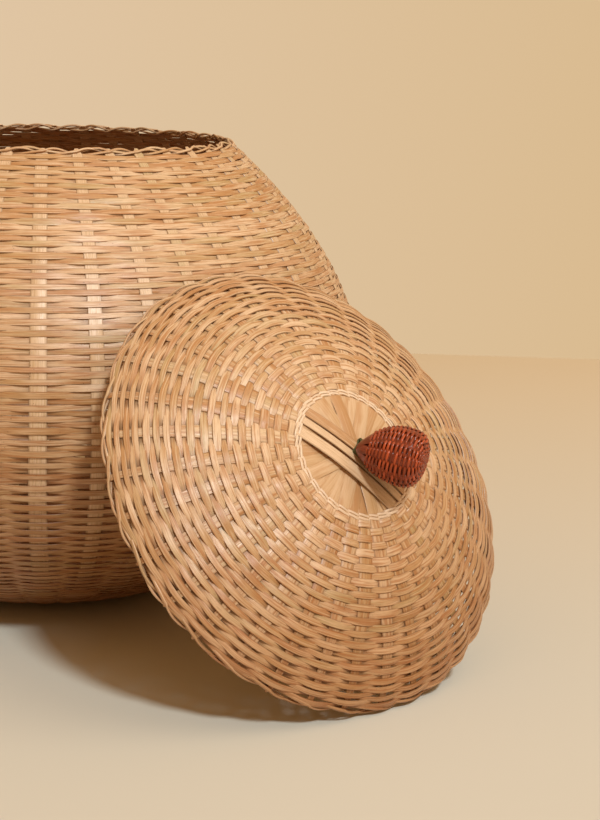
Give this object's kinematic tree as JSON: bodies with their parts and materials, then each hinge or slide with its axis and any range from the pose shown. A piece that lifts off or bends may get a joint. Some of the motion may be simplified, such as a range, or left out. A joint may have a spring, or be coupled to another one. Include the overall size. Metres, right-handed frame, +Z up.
{
  "type": "lidded basket",
  "caption": "Round woven palm-splint basket with a wide mouth and a separate domed lid that leans on it; the lid has a hub with straps and a small tied knob.",
  "frame": {"origin": "on the floor under the middle of the basket's body, at the centre of its flat crossed bottom", "axes": "+Z up along the body's axis, -Y towards the lid that leans on the body, +X to the right of someone who looks along +Y"},
  "size_m": [0.4006, 0.5276, 0.2801],
  "materials": {
    "straw": "dry palm splint, satin",
    "pale_straw": "pale palm splint, satin",
    "tan_splint": "tan palm splint, satin",
    "raffia": "pale raffia, dull",
    "green_thread": "dull twisted thread",
    "red_cane": "dyed red-brown, glossy",
    "dark_red_cane": "dyed dark red-brown, glossy"
  },
  "bodies": {
    "basket": {"base_cross": "tan_splint", "base_twining_a": "raffia", "base_twining_b": "raffia", "body_weave": "straw", "body_stakes": "pale_straw", "mouth_border_a": "straw", "mouth_border_b": "straw"},
    "lid": {"lid_cross": "tan_splint", "lid_twining_a": "raffia", "lid_twining_b": "raffia", "lid_weave": "straw", "lid_stakes": "pale_straw", "lid_border_a": "straw", "lid_border_b": "straw", "strap_upper": "tan_splint", "strap_middle": "pale_straw", "strap_lower": "pale_straw", "thread_tie": "green_thread"},
    "knob": {"knob_weave": "red_cane", "knob_ribs": "dark_red_cane", "knob_end_cap": "red_cane"}
  },
  "joints": [
    {"name": "lid_lift", "type": "slide", "parent": "basket", "child": "lid", "axis": [0, 0, 1], "range_m": [0, 0.3]},
    {"name": "knob_tilt", "type": "hinge", "parent": "lid", "child": "knob", "pos_m": [-0.00178, -0.28868, 0.1391], "axis": [-0.809, -0.3329, -0.4844], "range_deg": [0, 100]}
  ]
}
